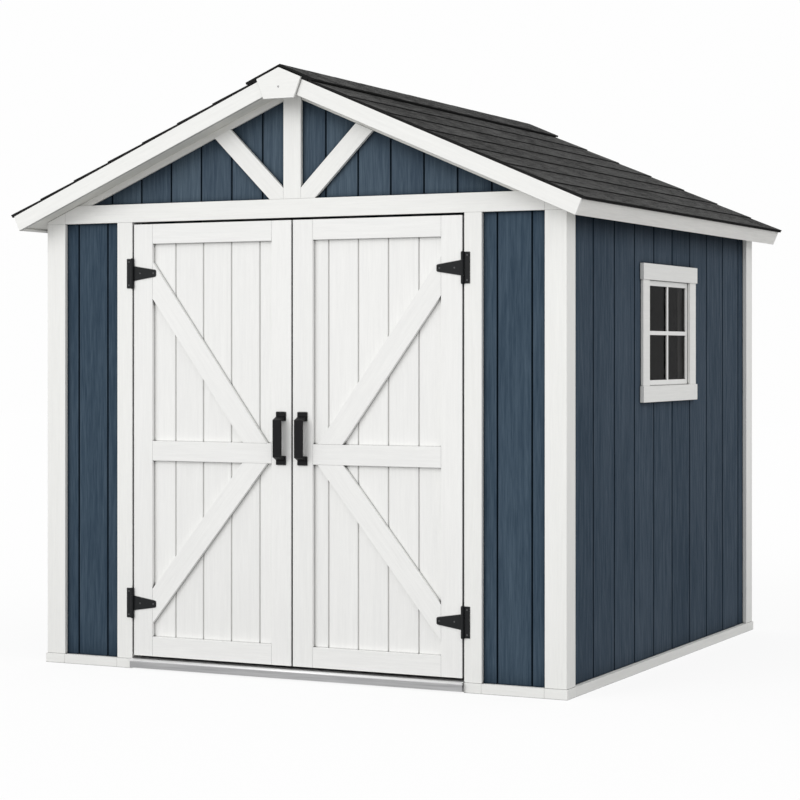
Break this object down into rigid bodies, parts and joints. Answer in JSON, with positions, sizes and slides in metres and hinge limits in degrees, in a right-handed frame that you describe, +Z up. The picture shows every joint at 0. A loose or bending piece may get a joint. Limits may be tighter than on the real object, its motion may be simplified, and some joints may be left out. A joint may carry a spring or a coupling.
{
  "type": "plastic garden shed",
  "caption": "Gabled plastic garden shed with grooved wall panels, a pair of K-braced outward-opening doors on T-hinges, a side window and a shingled roof.",
  "frame": {"origin": "on the ground at the centre of the footprint", "axes": "+Z up; the doors face -Y; the window is on the +X side"},
  "size_m": [2.6802, 2.674, 2.5358],
  "materials": {
    "white_trim": "moulded wood grain, satin white",
    "white_door": "moulded wood grain, satin white",
    "navy_siding": "moulded wood grain, matt slate blue",
    "roof_shingles": "granular charcoal",
    "grey_plastic": "plain moulded grey",
    "black_hardware": "satin black powder coat",
    "aluminium_sill": "brushed, bright nose",
    "window_glass": "clear, dark interior behind"
  },
  "bodies": {
    "shed": {"floor": "grey_plastic", "baseboards": "white_trim", "base_blocks": "white_trim", "threshold": "aluminium_sill", "corner_posts": "white_trim", "post_heads": "white_trim", "door_jambs": "white_trim", "front_walls": "navy_siding", "back_wall": "navy_siding", "left_wall": "navy_siding", "right_wall": "navy_siding", "front_gable": "navy_siding", "back_gable": "navy_siding", "tie_beams": "white_trim", "king_post": "white_trim", "gable_braces": "white_trim", "gable_friezes": "white_trim", "left_bargeboards": "white_trim", "right_bargeboards": "white_trim", "peak_plates": "white_trim", "eave_fascias": "white_trim", "eave_soffits": "white_trim", "gable_soffits": "white_trim", "left_roof_deck": "grey_plastic", "right_roof_deck": "grey_plastic", "roof_trusses": "grey_plastic", "left_shingles": "roof_shingles", "right_shingles": "roof_shingles", "ridge_cap": "roof_shingles", "window_casing": "white_trim", "window_sash": "white_trim", "window_glass": "window_glass", "hinge_leaves": "black_hardware", "hinge_pins": "black_hardware"},
    "left_door": {"left_door_panel": "white_door", "left_door_stiles": "white_door", "left_door_rails": "white_door", "left_door_braces": "white_door", "left_door_straps": "black_hardware", "left_door_handle": "black_hardware"},
    "right_door": {"right_door_panel": "white_door", "right_door_stiles": "white_door", "right_door_rails": "white_door", "right_door_braces": "white_door", "right_door_straps": "black_hardware", "right_door_handle": "black_hardware"}
  },
  "joints": [
    {"name": "left_door_hinge", "type": "hinge", "parent": "shed", "child": "left_door", "pos_m": [-0.777, -1.227, 0.95], "axis": [0, 0, -1], "range_deg": [0, 135]},
    {"name": "right_door_hinge", "type": "hinge", "parent": "shed", "child": "right_door", "pos_m": [0.777, -1.227, 0.95], "axis": [0, 0, 1], "range_deg": [0, 135]}
  ]
}
